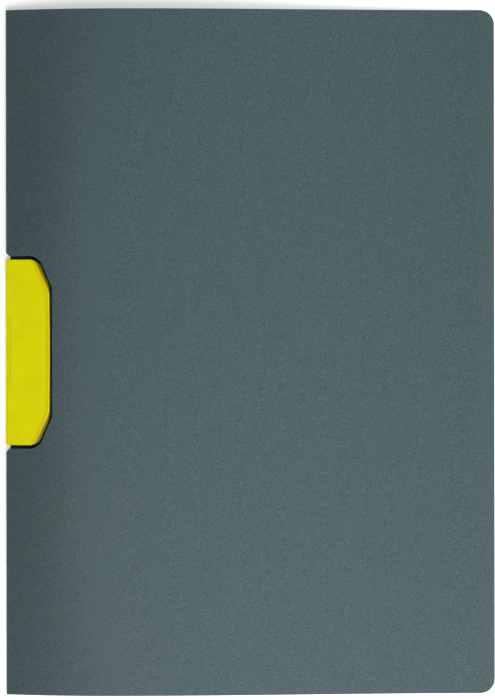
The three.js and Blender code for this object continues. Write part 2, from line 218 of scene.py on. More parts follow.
# Outlines: corners are (x, y, radius), counterclockwise from above
def rounded(corners):
    """The points of an outline, with each corner that has a radius as an arc."""
    points = []
    for i, (x, y, radius) in enumerate(corners):
        here = Vector((x, y))
        if not radius:
            points.append(here)
            continue
        back = (Vector(corners[i - 1][:2]) - here).normalized()
        onward = (Vector(corners[(i + 1) % len(corners)][:2]) - here).normalized()
        half = back.angle(onward) / 2
        centre = here + (back + onward).normalized() * (radius / math.sin(half))
        spoke = here + back * (radius / math.tan(half)) - centre
        turn = math.pi - 2 * half
        if onward.cross(back) < 0:
            turn = -turn
        for k in range(CORNER_STEPS + 1):
            points.append(centre + Matrix.Rotation(turn * k / CORNER_STEPS, 2) @ spoke)
    return points


def widened(corners, distances):
    """Moves each side of an outline outward by its own distance. Side i runs from corner i to the next."""
    sides = []
    for i, (x, y, _) in enumerate(corners):
        after = corners[(i + 1) % len(corners)]
        direction = Vector((after[0] - x, after[1] - y)).normalized()
        normal = Vector((direction.y, -direction.x))
        sides.append((normal, normal.dot(Vector((x, y))) + distances[i]))
    moved = []
    for i, (_, _, radius) in enumerate(corners):
        (a, a_reach), (b, b_reach) = sides[i - 1], sides[i]
        across = a.x * b.y - a.y * b.x
        if radius:
            spread = (distances[i - 1] + distances[i]) / 2
            radius += spread if across > 0 else -spread
        x = (a_reach * b.y - b_reach * a.y) / across
        y = (b_reach * a.x - a_reach * b.x) / across
        moved.append((x, y, radius))
    return moved


def clip_corners(plan, spine_x):
    """The corners of a clip outline, from its spine side round its end, cut corner and bowed free edge."""
    end, edge, cut_width, cut_length, end_radius, free_radius = plan
    upper = [
        (edge, end - cut_length, free_radius),
        (edge - cut_width, end, end_radius),
        (spine_x, end, 0),
    ]
    lower = [(x, -y, radius) for x, y, radius in reversed(upper)]
    return lower + [(edge + CLIP_BOW, 0, BOW_RADIUS)] + upper


def clip_outline(plan, spine_x, inset=0):
    """The points of a clip outline. An inset moves every side inward but the spine side."""
    corners = clip_corners(plan, spine_x)
    if inset:
        corners = widened(corners, [-inset] * (len(corners) - 1) + [0])
    return rounded(corners)


def cutout_corners():
    """The cut-out follows the clip's wall, but its edge is straight."""
    straight = clip_corners(WALL_PLAN, NOTCH_CHAMFER)
    del straight[3]
    corners = widened(straight, [END_GAP, CORNER_GAP, FREE_GAP, CORNER_GAP, END_GAP, 0])
    for i in (2, 3):
        corners[i] = (*corners[i][:2], CUTOUT_RADIUS)
    return corners


def quarter_round(radius, steps):
    """A rounded edge in steps: how far in from the side, and from the end, each point lies."""
    bends = [math.radians(90 * k / steps) for k in range(steps + 1)]
    return [(radius * (1 - math.sin(a)), radius * (1 - math.cos(a))) for a in bends]


# Solids
def as_mesh(shell):
    """Ends the work on a shell and keeps it as a mesh."""
    mesh = bpy.data.meshes.new("shape")
    shell.to_mesh(mesh)
    shell.free()
    return mesh


def loft(rings):
    """A closed shell through rings of equally many points."""
    shell = bmesh.new()
    rows = [[shell.verts.new(point) for point in ring] for ring in rings]
    count = len(rows[0])
    for low, high in zip(rows, rows[1:]):
        for i in range(count):
            k = (i + 1) % count
            shell.faces.new((low[i], low[k], high[k], high[i]))
    shell.faces.new(rows[0][::-1])
    shell.faces.new(rows[-1])
    bmesh.ops.recalc_face_normals(shell, faces=shell.faces)
    return as_mesh(shell)


def upright(outline, z_low, z_high):
    """An outline pulled up from one height to another."""
    return loft([[(p.x, p.y, z) for p in outline] for z in (z_low, z_high)])


def along(profile, y_low, y_high):
    """A side profile, points of x and z, pulled along the spine."""
    return loft([[(x, y, z) for x, z in profile] for y in (y_high, y_low)])


def block(low, high):
    """A box from its lowest to its highest corner."""
    profile = [(low[0], low[2]), (high[0], low[2]), (high[0], high[2]), (low[0], high[2])]
    return along(profile, low[1], high[1])


def rod(radius, y_low, y_high, end_round=0.0, start=0.0):
    """A round rod on the hinge's axis. Its ends may be rounded over."""
    stations = [(radius, y_low), (radius, y_high)]
    if end_round:
        bend = quarter_round(end_round, ROD_END_STEPS)
        stations = [(radius - side, y_low + end) for side, end in bend]
        stations += [(radius - side, y_high - end) for side, end in reversed(bend)]
    spokes = [(math.cos(start + a), math.sin(start + a)) for a in TURNS]
    return loft([[(HINGE_X + r * c, y, HINGE_Z + r * s) for c, s in spokes] for r, y in stations])


def disc(radius, place, z_low, z_high):
    """An upright round disc."""
    outline = [Vector((place[0] + radius * math.cos(a), place[1] + radius * math.sin(a))) for a in TURNS]
    return upright(outline, z_low, z_high)


def joined(meshes):
    """Meshes that don't touch, as one."""
    shell = bmesh.new()
    for mesh in meshes:
        shell.from_mesh(mesh)
    return as_mesh(shell)


def baked(target, *others):
    """The evaluated mesh of an object. The object and its tools are removed."""
    depsgraph = bpy.context.evaluated_depsgraph_get()
    mesh = bpy.data.meshes.new_from_object(target.evaluated_get(depsgraph), depsgraph=depsgraph)
    for done in (target, *others):
        bpy.data.objects.remove(done)
    return mesh


def combined(mesh, operation, other):
    """Joins (UNION), cuts (DIFFERENCE) or keeps what two solids share (INTERSECT)."""
    target, tool = [bpy.data.objects.new("solid", m) for m in (mesh, other)]
    for solid in (target, tool):
        bpy.context.scene.collection.objects.link(solid)
    modifier = target.modifiers.new("combine", "BOOLEAN")
    modifier.object = tool
    modifier.operation = operation
    modifier.solver = "MANIFOLD"
    return baked(target, tool)


def with_rivet_holes(mesh, *steps):
    """Cuts a stepped hole at each rivet. steps are the radius of the rivet and two heights."""
    places = [(x, side * y) for x, y in (OUTER_RIVET, INNER_RIVET) for side in (-1, 1)]
    for radius, z_low, z_high in steps:
        holes = [disc(radius + RIVET_CLEARANCE, p, z_low, z_high) for p in places]
        mesh = combined(mesh, "DIFFERENCE", joined(holes))
    return mesh


# Pieces
TO_FRAME = Matrix.Translation((SPINE_X, 0, 0)) @ Matrix.Scale(MM, 4)


def piece(name, mesh, material, slot, *replaced):
    """Makes the finished object from a mesh in millimetres."""
    mesh.name = name
    mesh.transform(TO_FRAME)
    mesh.materials.clear()
    mesh.materials.append(material)
    mesh.shade_smooth()
    mesh.set_sharp_from_angle(angle=SMOOTH_ANGLE)
    made = bpy.data.objects.new(name, mesh)
    bpy.context.scene.collection.objects.link(made)
    if replaced:
        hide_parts(*replaced)
    return made


def with_even_normals(made):
    """Keeps the large flat faces flat where they meet small rounded ones."""
    modifier = made.modifiers.new("even normals", "WEIGHTED_NORMAL")
    modifier.keep_sharp = True
    return made


# Nodes and materials
# A mix node's sockets are named here by their place, because several of them share a name.
FACTOR = 0
NUMBER_A, NUMBER_B, MIXED_NUMBER = 2, 3, 0
COLOUR_A, COLOUR_B, MIXED_COLOUR = 6, 7, 2


def linear(colour):
    """An sRGB hex colour as linear red, green, blue and alpha."""
    channels = [int(colour[i : i + 2], 16) / 255 for i in (1, 3, 5)]
    return [c / 12.92 if c <= 0.04045 else ((c + 0.055) / 1.055) ** 2.4 for c in channels] + [1.0]


def add(tree, kind, sockets=(), stops=(), **settings):
    """Adds a node. sockets pairs an input with a value, or with an output to link to it. stops are the
    positions and colours of a colour ramp, which starts with two."""
    made = tree.nodes.new(kind)
    for name, value in settings.items():
        setattr(made, name, value)
    for name, value in dict(sockets).items():
        if isinstance(value, bpy.types.NodeSocket):
            tree.links.new(value, made.inputs[name])
        else:
            made.inputs[name].default_value = value
    for _ in stops[2:]:
        made.color_ramp.elements.new(0.5)
    for i, (position, colour) in enumerate(stops):
        made.color_ramp.elements[i].position = position
        made.color_ramp.elements[i].color = linear(colour)
    return made


def pattern_scale(size_mm):
    """The scale of a pattern whose features are about this large."""
    return 1 / (size_mm * MM)


def blank(name):
    """A material without nodes. Returns it, its tree and the piece's coordinates."""
    material = bpy.data.materials.new(name)
    material.use_nodes = True
    tree = material.node_tree
    tree.nodes.clear()
    return material, tree, add(tree, "ShaderNodeTexCoord").outputs["Object"]


def shaded(material, sockets):
    """Gives a material its shader."""
    tree = material.node_tree
    shader = add(tree, "ShaderNodeBsdfPrincipled", sockets)
    add(tree, "ShaderNodeOutputMaterial", {"Surface": shader.outputs["BSDF"]})
    return material


def sheet_surface(name, lighten, grain_strength):
    """Extruded polypropylene sheet, its sand grain pressed in by the cooling roll. It reads as a satin
    blue-grey with light and dark specks, a little greener or bluer from place to place, and as plain
    blue-grey along a cut edge."""
    material, tree, place = blank(name)
    # The real grain is 0.3 to 0.5 mm. The specks are drawn at 0.55 mm, to show from a metre away.
    sandy = {"Vector": place, "Scale": pattern_scale(0.55), "Detail": 1.0, "Roughness": 0.7}
    specks = add(tree, "ShaderNodeTexNoise", sandy).outputs["Fac"]
    shades = ((0.31, "#394D50"), (0.5, "#465A5D"), (0.69, "#566A6D"))
    speckled = add(tree, "ShaderNodeValToRGB", {"Fac": specks}, shades).outputs["Color"]
    cloudy = {"Vector": place, "Scale": pattern_scale(22), "Detail": 2.0, "Roughness": 0.6}
    drift = add(tree, "ShaderNodeTexNoise", cloudy).outputs["Fac"]
    tints = ((0.36, "#7A837C"), (0.64, "#7A8088"))
    tint = add(tree, "ShaderNodeValToRGB", {"Fac": drift}, tints).outputs["Color"]
    tinting = {FACTOR: 0.35, COLOUR_A: speckled, COLOUR_B: tint}
    tinted = add(tree, "ShaderNodeMix", tinting, data_type="RGBA", blend_type="OVERLAY")
    rim = add(tree, "ShaderNodeAttribute", attribute_name="rim").outputs["Fac"]
    edging = {FACTOR: rim, COLOUR_A: tinted.outputs[MIXED_COLOUR], COLOUR_B: linear("#465A5C")}
    edged = add(tree, "ShaderNodeMix", edging, data_type="RGBA")
    paling = {FACTOR: lighten, COLOUR_A: edged.outputs[MIXED_COLOUR], COLOUR_B: linear("#5A6F72")}
    colour = add(tree, "ShaderNodeMix", paling, data_type="RGBA").outputs[MIXED_COLOUR]
    grainy = {"Vector": place, "Scale": pattern_scale(0.42), "Detail": 2.0, "Roughness": 0.6}
    grain = add(tree, "ShaderNodeTexNoise", grainy).outputs["Fac"]
    raised = {"Height": grain, "Distance": 0.02 * MM, "Strength": grain_strength}
    normal = add(tree, "ShaderNodeBump", raised).outputs["Normal"]
    satin = {"Roughness": 0.55, "IOR": 1.49, "Specular IOR Level": 0.35}
    return shaded(material, {"Base Color": colour, "Normal": normal, **satin})


def moulded_abs():
    """Injection-moulded ABS, dyed through, from a lightly spark-eroded mould: satin yellow. A painted
    shade makes it a little deeper just inside the edge of the clip's top face and dark olive on its
    shoulder."""
    material, tree, place = blank("yellow_moulded_abs")
    cloudy = {"Vector": place, "Scale": pattern_scale(9), "Detail": 2.0, "Roughness": 0.5}
    cloud = add(tree, "ShaderNodeTexNoise", cloudy).outputs["Fac"]
    yellows = ((0.35, "#E7E103"), (0.65, "#EAE604"))
    plain = add(tree, "ShaderNodeValToRGB", {"Fac": cloud}, yellows).outputs["Color"]
    # The fall attribute carries a painted shade: dark olive on the shoulder, a deeper yellow just inside
    # the top face's edge.
    fall = add(tree, "ShaderNodeAttribute", attribute_name="fall").outputs["Fac"]
    painted_shade_colours = ((0.0, "#E7E103"), (0.3, "#DCCA05"), (0.38, "#968302"), (1.0, "#463D04"))
    shoulder = add(tree, "ShaderNodeValToRGB", {"Fac": fall}, painted_shade_colours).outputs["Color"]
    outset = {"Value": fall, "From Min": 0.0, "From Max": 0.1}
    begun = add(tree, "ShaderNodeMapRange", outset).outputs[0]
    shading = {FACTOR: begun, COLOUR_A: plain, COLOUR_B: shoulder}
    colour = add(tree, "ShaderNodeMix", shading, data_type="RGBA").outputs[MIXED_COLOUR]
    # Spark erosion leaves pits of about 0.1 mm, drawn here at 0.25 mm.
    eroded = {"Vector": place, "Scale": pattern_scale(0.25), "Detail": 1.0, "Roughness": 0.5}
    pits = add(tree, "ShaderNodeTexNoise", eroded).outputs["Fac"]
    raised = {"Height": pits, "Distance": 0.006 * MM, "Strength": 0.5}
    normal = add(tree, "ShaderNodeBump", raised).outputs["Normal"]
    satin = {"Roughness": 0.36, "IOR": 1.53, "Specular IOR Level": 0.08}
    return shaded(material, {"Base Color": colour, "Normal": normal, **satin})


def drawn_wire():
    """Drawn steel wire: bright, with fine lines along its length from the die."""
    material, tree, place = blank("drawn_steel_wire")
    # The real lines lie less than 0.05 mm apart, drawn here at 0.12 mm.
    stretched = add(tree, "ShaderNodeMapping", {"Vector": place, "Scale": (1, 0.02, 1)}).outputs[0]
    streaky = {"Vector": stretched, "Scale": pattern_scale(0.12), "Detail": 2.0, "Roughness": 0.6}
    lines = add(tree, "ShaderNodeTexNoise", streaky).outputs["Fac"]
    greys = ((0.3, "#9FA2A5"), (0.7, "#C2C4C6"))
    colour = add(tree, "ShaderNodeValToRGB", {"Fac": lines}, greys).outputs["Color"]
    raised = {"Height": lines, "Distance": 0.004 * MM, "Strength": 0.6}
    normal = add(tree, "ShaderNodeBump", raised).outputs["Normal"]
    return shaded(material, {"Base Color": colour, "Normal": normal, "Metallic": 1.0, "Roughness": 0.3})


def nickel_plate():
    """Barrel-plated nickel on a steel rivet: a warm white metal with soft tumbling marks."""
    material, tree, place = blank("nickel_plated_rivet")
    tumbled = {"Vector": place, "Scale": pattern_scale(0.35), "Detail": 3.0, "Roughness": 0.7}
    marks = add(tree, "ShaderNodeTexNoise", tumbled).outputs["Fac"]
    whites = ((0.3, "#B7B2A6"), (0.7, "#D2CEC4"))
    colour = add(tree, "ShaderNodeValToRGB", {"Fac": marks}, whites).outputs["Color"]
    raised = {"Height": marks, "Distance": 0.01 * MM, "Strength": 0.5}
    normal = add(tree, "ShaderNodeBump", raised).outputs["Normal"]
    return shaded(material, {"Base Color": colour, "Normal": normal, "Metallic": 1.0, "Roughness": 0.24})


sheet_plastic = sheet_surface("sand_grained_polypropylene", 0.0, 0.7)
crease_plastic = sheet_surface("creased_polypropylene", 0.12, 0.3)
clip_plastic = moulded_abs()
wire_steel = drawn_wire()
rivet_nickel = nickel_plate()


# Geometry Nodes
def node_tree(name, inputs):
    """A tree that takes and gives geometry. inputs maps a name to a socket type."""
    tree = bpy.data.node_groups.new(name, "GeometryNodeTree")
    tree.interface.new_socket("Geometry", in_out="INPUT", socket_type="NodeSocketGeometry")
    for label, kind in inputs.items():
        tree.interface.new_socket(label, in_out="INPUT", socket_type=kind)
    tree.interface.new_socket("Geometry", in_out="OUTPUT", socket_type="NodeSocketGeometry")
    return tree, tree.nodes.new("NodeGroupInput").outputs


def shaped(mesh, tree, values):
    """Runs a tree on a mesh and gives the plain mesh that it makes."""
    target = bpy.data.objects.new("shape", mesh)
    bpy.context.scene.collection.objects.link(target)
    modifier = target.modifiers.new(tree.name, "NODES")
    modifier.node_group = tree
    for item in tree.interface.items_tree:
        if item.in_out == "INPUT" and item.name in values:
            modifier[item.identifier] = values[item.name]
    return baked(target)


def crown_place(tree, given, y):
    """How far out the crown lies. It lies further out towards the head and the foot."""
    share = add(tree, "ShaderNodeMath", {0: y, 1: given["Half height"]}, operation="DIVIDE").outputs[0]
    size = add(tree, "ShaderNodeMath", {0: share}, operation="ABSOLUTE").outputs[0]
    cubed = add(tree, "ShaderNodeMath", {0: size, 1: 3.0}, operation="POWER").outputs[0]
    further = {0: cubed, 1: given["Crown spread"], 2: given["Crown distance"]}
    return add(tree, "ShaderNodeMath", further, operation="MULTIPLY_ADD").outputs[0]


def fall_beyond(tree, given, x, crown):
    """How far the sheet falls beyond the crown, with its curl at the fore edge."""
    falls = {0: given["Crown height"], 1: given["Low height"]}
    drop = add(tree, "ShaderNodeMath", falls, operation="SUBTRACT").outputs[0]
    rest = add(tree, "ShaderNodeMath", {0: drop, 1: given["Curl drop"]}, operation="SUBTRACT").outputs[0]
    width = given["Cover width"]
    after = {"Value": x, "From Min": crown, "From Max": width, "To Min": 0.0, "To Max": rest}
    settled = add(tree, "ShaderNodeMapRange", after, interpolation_type="SMOOTHSTEP").outputs[0]
    edge = {"Value": x, "From Min": given["Curl start"], "From Max": width}
    beyond = add(tree, "ShaderNodeMapRange", edge).outputs[0]
    bent = add(tree, "ShaderNodeMath", {0: beyond, 1: 2.0}, operation="POWER").outputs[0]
    curl = {0: bent, 1: given["Curl drop"], 2: settled}
    return add(tree, "ShaderNodeMath", curl, operation="MULTIPLY_ADD").outputs[0]


def arch_tree():
    """Lifts a flat sheet into the arch of the front cover: a climb from the crease to the crown, and a
    fall to the fore edge."""
    lengths = ["Crown height", "Crown rise", "Crown distance", "Crown spread", "Half height"]
    lengths += ["Cover width", "Low height", "Curl drop", "Curl start"]
    tree, given = node_tree("Cover arch", {name: "NodeSocketFloat" for name in lengths})
    position = add(tree, "GeometryNodeInputPosition").outputs[0]
    x, y, _ = add(tree, "ShaderNodeSeparateXYZ", {0: position}).outputs
    crown = crown_place(tree, given, y)
    fallen = fall_beyond(tree, given, x, crown)
    before = {"Value": x, "From Min": 0.0, "From Max": crown, "To Min": 1.0, "To Max": 0.0}
    left = add(tree, "ShaderNodeMapRange", before).outputs[0]
    squared = add(tree, "ShaderNodeMath", {0: left, 1: 2.0}, operation="POWER").outputs[0]
    climb = {0: squared, 1: given["Crown rise"], 2: fallen}
    total = add(tree, "ShaderNodeMath", climb, operation="MULTIPLY_ADD").outputs[0]
    below = {0: given["Crown height"], 1: total}
    top = add(tree, "ShaderNodeMath", below, operation="SUBTRACT").outputs[0]
    lift = add(tree, "ShaderNodeCombineXYZ", {"Z": top}).outputs[0]
    moved = add(tree, "GeometryNodeSetPosition", {"Geometry": given["Geometry"], "Offset": lift}).outputs[0]
    coloured = {"Geometry": moved, "Material": sheet_plastic}
    done = add(tree, "GeometryNodeSetMaterial", coloured).outputs[0]
    add(tree, "NodeGroupOutput", {0: done})
    return tree


def rivet_tree():
    """Sets a rivet at two pairs of places, each pair the same way up the hinge and down it."""
    inputs = {"Outer place": "NodeSocketVector", "Inner place": "NodeSocketVector"}
    tree, given = node_tree("Rivets", inputs)
    join = add(tree, "GeometryNodeJoinGeometry")
    for label in inputs:
        mirrored = {0: given[label], 1: (1, -1, 1)}
        other = add(tree, "ShaderNodeVectorMath", mirrored, operation="MULTIPLY").outputs[0]
        pair = {"Count": 2, "Start Location": other, "Offset": given[label]}
        line = add(tree, "GeometryNodeMeshLine", pair, mode="END_POINTS").outputs[0]
        tree.links.new(line, join.inputs[0])
    placed = {"Points": join.outputs[0], "Instance": given["Geometry"]}
    copies = add(tree, "GeometryNodeInstanceOnPoints", placed).outputs[0]
    real = add(tree, "GeometryNodeRealizeInstances", {"Geometry": copies}).outputs[0]
    done = add(tree, "GeometryNodeSetMaterial", {"Geometry": real, "Material": rivet_nickel}).outputs[0]
    add(tree, "NodeGroupOutput", {0: done})
    return tree


# Cover sheet
def sheet_between(corners, rim_sides):
    """A flat sheet whose die-cut sides are rounded over. Its top lies at z = 0. The rim attribute is 1 at
    the cut and falls to 0 inside it."""
    bend = quarter_round(RIM_ROUND, RIM_STEPS)
    lower = [(inset, end - SHEET) for inset, end in bend]
    upper = [(inset, -SHEET - z) for inset, z in reversed(lower)]
    stations = [(RIM_LINE, -SHEET), *lower, *upper, (RIM_LINE, 0)]
    rings = []
    for inset, z in stations:
        outline = rounded(widened(corners, [-inset * side for side in rim_sides]))
        rings.append([(p.x, p.y, z) for p in outline])
    mesh = loft(rings)
    rim = mesh.attributes.new("rim", "FLOAT", "POINT")
    inner = len(rings[0])
    last = len(mesh.vertices) - inner
    for i in range(len(mesh.vertices)):
        rim.data[i].value = 1.0 if inner <= i < last else 0.0
    return mesh


def panel(notch_corners):
    """A cover panel, flat. Its corners are rounded at the fore edge, and it has no rim at the crease."""
    notch = NOTCH_HALF - CREASE
    corners = [
        (CREASE, -HALF_HEIGHT, 0),
        (COVER_WIDTH, -HALF_HEIGHT, FORE_RADIUS),
        (COVER_WIDTH, HALF_HEIGHT, FORE_RADIUS),
        (CREASE, HALF_HEIGHT, 0),
        (CREASE, notch, 0),
        *notch_corners,
        (CREASE, -notch, 0),
    ]
    rim_sides = [1] * len(corners)
    rim_sides[3] = rim_sides[-1] = 0
    return sheet_between(corners, rim_sides)


def sliced(mesh):
    """Cuts a sheet's faces both ways, so that it can bend."""
    shell = bmesh.new()
    shell.from_mesh(mesh)
    bmesh.ops.triangulate(shell, faces=shell.faces)
    columns = math.ceil(COVER_WIDTH / SLICE_ACROSS)
    rows = int(HALF_HEIGHT / SLICE_ALONG)
    cuts = [((k * SLICE_ACROSS, 0, 0), (1, 0, 0)) for k in range(1, columns)]
    cuts += [((0, k * SLICE_ALONG, 0), (0, 1, 0)) for k in range(-rows, rows + 1)]
    for place, across in cuts:
        everything = [*shell.verts, *shell.edges, *shell.faces]
        bmesh.ops.bisect_plane(shell, geom=everything, plane_co=place, plane_no=across, dist=CUT_TOLERANCE)
    return as_mesh(shell)


def front_cover():
    """The arched front panel, with the cut-out that the clip lies in."""
    flat = sliced(panel(reversed(cutout_corners())))
    sizes = {
        "Crown height": CROWN_HEIGHT,
        "Crown rise": CROWN_RISE,
        "Crown distance": float(CROWN_DISTANCE),
        "Crown spread": float(CROWN_SPREAD),
        "Half height": HALF_HEIGHT,
        "Cover width": COVER_WIDTH,
        "Low height": LOW_HEIGHT,
        "Curl drop": CURL_DROP,
        "Curl start": COVER_WIDTH - CURL_REACH,
    }
    arched = shaped(flat, arch_tree(), sizes)
    made = piece("front_cover_sheet", arched, sheet_plastic, "cover_sheet", "front_cover")
    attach(made, "cover")


def back_cover():
    """The panel that the folder lies on, with a shallower notch and the holes for the rivets."""
    inner = NOTCH_HALF - NOTCH_REACH
    sheet = panel([(NOTCH_REACH, inner, 0), (NOTCH_REACH, -inner, 0)])
    sheet.transform(Matrix.Translation((0, 0, SHEET)))
    shank = (RIVET_SHANK, -OVERSHOOT, SHEET + OVERSHOOT)
    tail = (RIVET_TAIL, -OVERSHOOT, RIVET_TAIL_TOP)
    sheet = with_rivet_holes(sheet, shank, tail)
    made = piece("back_cover_sheet", sheet, sheet_plastic, "cover_sheet", "back_cover")
    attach(with_even_normals(made), "base")


def crease_web(points, y_low, y_high, notch_side):
    """A fold's bend between two panels. points are (x, z) along its outer face, with the direction of
    the sheet's inner face at each. The sheet is thinnest at the middle, where it was pressed. At the
    notch its end is cut at 45 degrees, and notch_side says which way: -1 down, 1 up."""
    count = len(points) - 1
    inner = []
    for i, (x, z, inward) in enumerate(points):
        pressed = math.sin(math.pi * i / count) ** 2
        depth = SHEET + (CREASE_THICKNESS - SHEET) * pressed
        inner.append((x + inward[0] * depth, z + inward[1] * depth))
    section = [(x, z) for x, z, _ in points] + inner[::-1]
    ends = ((y_low, min(notch_side, 0)), (y_high, max(notch_side, 0)))
    return loft([[(x, y + lean * x, z) for x, z in section] for y, lean in ends])


def bend(start, start_direction, end, end_direction):
    """Points (x, z, inward) of a smooth bend, with the sheet's inner face on its right."""
    reach = CREASE_SWELL * math.hypot(end[0] - start[0], end[1] - start[1])
    p0, p3 = Vector(start), Vector(end)
    p1 = p0 + Vector(start_direction).normalized() * reach
    p2 = p3 - Vector(end_direction).normalized() * reach
    points = []
    for k in range(CREASE_STEPS + 1):
        t = k / CREASE_STEPS
        s = 1 - t
        p = s**3 * p0 + 3 * s * s * t * p1 + 3 * s * t * t * p2 + t**3 * p3
        d = (3 * s * s * (p1 - p0) + 6 * s * t * (p2 - p1) + 3 * t * t * (p3 - p2)).normalized()
        points.append((p.x, p.y, (d.y, -d.x)))
    return points


def spine():
    """The spine's two strips and the four webs that join them to the covers."""
    slope = 2 * CROWN_RISE * (CROWN_DISTANCE - CREASE) / CROWN_DISTANCE**2
    lower = bend((CREASE, 0), (-1, 0), (0, CREASE), (0, 1))
    upper = bend((0, SPINE_HEIGHT - CREASE), (0, 1), (CREASE, cover_top(CREASE)), (1, slope))
    halves = {
        "upper": (NOTCH_HALF, HALF_HEIGHT, -1),
        "lower": (-HALF_HEIGHT, -NOTCH_HALF, 1),
    }
    for label, (y_low, y_high, notch_side) in halves.items():
        low = (0, y_low, CREASE)
        high = (SHEET, y_high, SPINE_HEIGHT - CREASE)
        strip = piece(
            f"spine_panel_{label}", block(low, high), sheet_plastic, "cover_sheet", f"spine_strip_{label}"
        )
        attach(strip, "spine")
        back_web = crease_web(lower, y_low, y_high, notch_side)
        back = piece(f"back_crease_{label}", back_web, crease_plastic, "cover_sheet")
        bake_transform(back)
        front_web = crease_web(upper, y_low, y_high, notch_side)
        front = piece(f"front_crease_{label}", front_web, crease_plastic, "cover_sheet")
        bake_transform(front)


# Clip
def clip_ring(a, b, share, height):
    """One ring of the clip's body, a share of the way from one outline to another."""
    points = [p.lerp(q, share) for p, q in zip(a, b)]
    return [(p.x, p.y, height(p.x)) for p in points]


def wall_height(x, share):
    """A height on the clip's upright wall, from its foot (0) to the shoulder (1)."""
    return RIM_Z + share * (face_top(x) - SHOULDER_DROP - RIM_Z)


def clip_shell():
    """The upright wall rounds over into a shoulder, which meets the top face at a soft edge."""
    wall, face = [clip_outline(plan, FACE_START) for plan in (WALL_PLAN, FACE_PLAN)]
    rings = []
    for share in (0, PLAIN_WALL):
        rings.append(clip_ring(wall, face, 0, lambda x, s=share: wall_height(x, s)))
    for k in range(SHOULDER_STEPS + 1):
        angle = SHOULDER_TURN * k / SHOULDER_STEPS
        share = (1 - math.cos(angle)) / (1 - math.cos(SHOULDER_TURN))
        drop = SHOULDER_DROP * (1 - math.sin(angle) / math.sin(SHOULDER_TURN))
        rings.append(clip_ring(wall, face, share, lambda x, d=drop: face_top(x) - d))
    # One more ring on the top face, where the painted shade begins.
    inner = clip_outline(FACE_PLAN, FACE_START, SHADE_REACH)
    rings.append(clip_ring(inner, inner, 0, face_top))
    return loft(rings)


def clip_hollow():
    """The room inside the clip, between its walls and its five ribs."""
    start = HINGE_X + BARREL
    wall, face = [clip_outline(plan, start, CLIP_WALL) for plan in (WALL_PLAN, FACE_PLAN)]
    foot = clip_ring(wall, face, 0, lambda x: 0)
    side = clip_ring(wall, face, 0, lambda x: face_top(x) - CLIP_WALL - SHOULDER_DROP)
    roof = clip_ring(wall, face, 1, lambda x: face_top(x) - CLIP_WALL)
    outer = (OUTER_LUG + INNER_LUG) / 2
    right = CLIP_WIDTH + OVERSHOOT
    top = CROWN_HEIGHT + OVERSHOOT
    ribs = [
        block((-OVERSHOOT, y - RIB / 2, RIM_Z + RIB_FOOT), (right, y + RIB / 2, top))
        for y in (-outer, -RIB_SPACING, 0, RIB_SPACING, outer)
    ]
    return combined(loft([foot, side, roof]), "DIFFERENCE", joined(ribs))


def relief_cut():
    """The flat relief on the barrel that runs out into the top face."""
    out = Vector((math.cos(RELIEF_ANGLE), math.sin(RELIEF_ANGLE)))
    side = Vector((-out.y, out.x))
    edge = Vector((RELIEF_WIDTH, face_top(RELIEF_WIDTH)))
    far = edge + side * 2 * BARREL
    profile = [edge, edge + out * BARREL, far + out * BARREL, far]
    barrel_proud = BARREL - HINGE_X

    def half_at(x):
        """Half the relief's length. It is longest where the barrel stands out furthest."""
        return RELIEF_HALF - RELIEF_TAPER * (x + barrel_proud) / (RELIEF_WIDTH + barrel_proud)

    left, right = -BARREL, RELIEF_WIDTH + OVERSHOOT
    corners = ((left, -1), (right, -1), (right, 1), (left, 1))
    plan = [Vector((x, sign * half_at(x))) for x, sign in corners]
    wedge = along([(p.x, p.y) for p in profile], -CLIP_HALF, CLIP_HALF)
    return combined(wedge, "INTERSECT", upright(plan, 0, CROWN_HEIGHT + OVERSHOOT))


def relief_groove():
    """The fine groove that the mould leaves along the straight edge of the relief."""
    top = face_top(RELIEF_WIDTH)
    left, right = RELIEF_WIDTH - GROOVE, RELIEF_WIDTH + GROOVE
    profile = [(left, top - GROOVE), (RELIEF_WIDTH, top - 2 * GROOVE), (right, top), (right, top + GROOVE)]
    reach = RELIEF_HALF - RELIEF_TAPER
    return along([*profile, (left, top + GROOVE)], -reach, reach)


def lug_pockets():
    """The room that the lugs need inside the clip, as three sets of cutters."""
    reach = LUG_WIDTH / 2 + RUNNING_GAP
    right = PLATE_X + POST + RUNNING_GAP
    eyes = [rod(LUG + LUG_GAP, y - reach, y + reach) for y in LUGS]
    under = [block((-BARREL, y - reach, 0), (right, y + reach, HINGE_Z)) for y in LUGS]
    beside = [block((HINGE_X, y - reach, 0), (right, y + reach, ARM_TOP + LUG_GAP)) for y in LUGS]
    return [joined(cutters) for cutters in (eyes, under, beside)]


def from_edge(x, y):
    """How far a point lies inside the free edge and the cut corners of the clip's top face."""
    end, edge, cut_width, cut_length = FACE_PLAN[:4]
    outward = Vector((cut_length, cut_width)).normalized()
    corner = outward.dot(Vector((edge - x, end - cut_length - abs(y))))
    return min(edge + CLIP_BOW - x, corner)


def within_one(value):
    """A value kept between 0 and 1."""
    return min(1, max(0, value))


def mark_painted_shade(mesh):
    """Marks where the painted shade on the clip lies. The fall attribute starts a little inside the edge of
    the top face, rises to 1 at the foot of the shoulder and is gone a little lower on the wall."""
    fall = mesh.attributes.new("fall", "FLOAT", "POINT")
    for i, vertex in enumerate(mesh.vertices):
        x, y, z = vertex.co
        near = within_one(1 - from_edge(x, y) / SHADE_REACH)
        below = within_one((face_top(x) - z) / SHOULDER_DROP)
        plain = wall_height(x, PLAIN_WALL)
        above = within_one((z - plain) / (wall_height(x, 1) - plain))
        fall.data[i].value = near * above * (SHADE_AT_EDGE + (1 - SHADE_AT_EDGE) * below)


